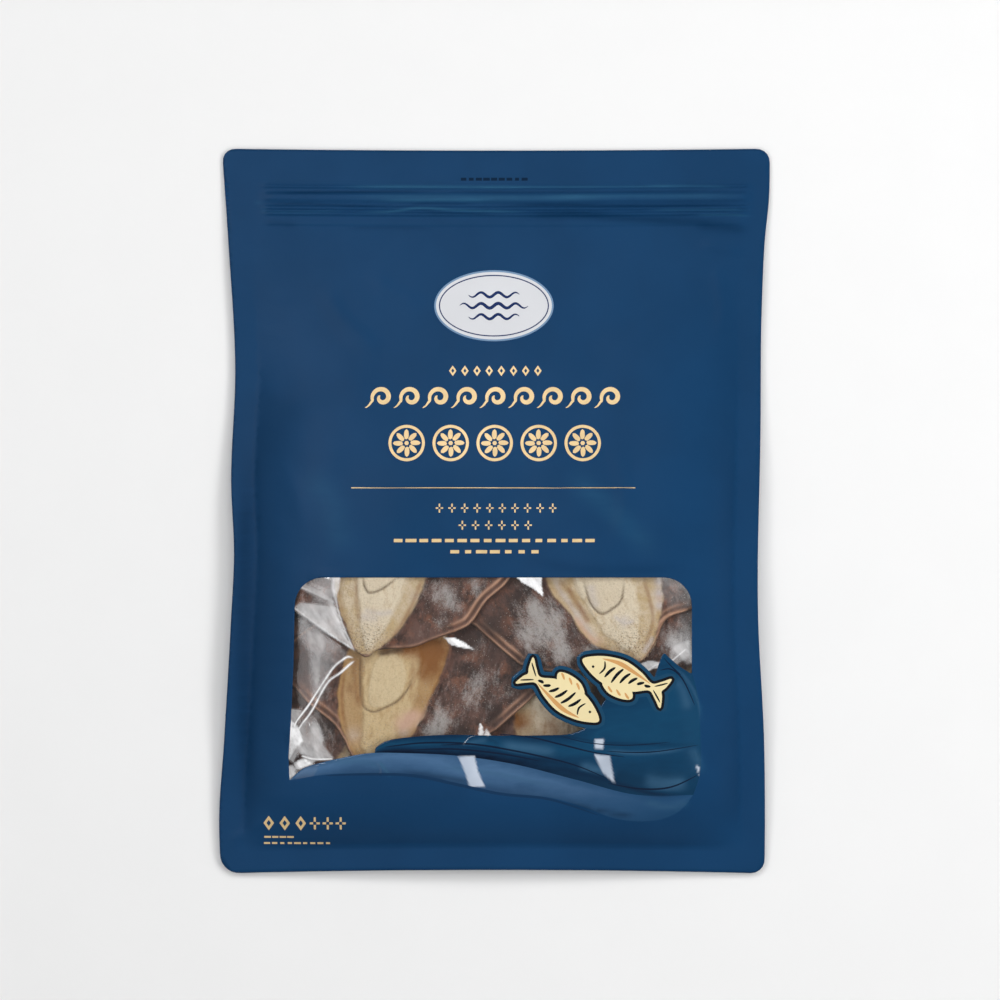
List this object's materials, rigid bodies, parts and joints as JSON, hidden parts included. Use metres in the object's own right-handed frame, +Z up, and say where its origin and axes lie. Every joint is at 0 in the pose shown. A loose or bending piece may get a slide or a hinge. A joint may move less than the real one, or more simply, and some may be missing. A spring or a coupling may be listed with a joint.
{
  "type": "pouch of dried cuttlefish",
  "caption": "Sealed zip-topped film pouch of dried cuttlefish, lying front up, with a clear window low on its printed front.",
  "frame": {"origin": "middle of the lying pouch's footprint, on the surface that it lies on", "axes": "+Z up out of the printed front, +Y towards the zipped end, +X to the right as the front is read"},
  "size_m": [0.2814, 0.3702, 0.0326],
  "materials": {
    "printed_film": "satin",
    "clear_film": "gloss",
    "gold_ink": "satin",
    "printed_colours": "satin",
    "dried_cuttlefish": "satin"
  },
  "bodies": {
    "root": {"pouch": "printed_film"}
  },
  "joints": []
}
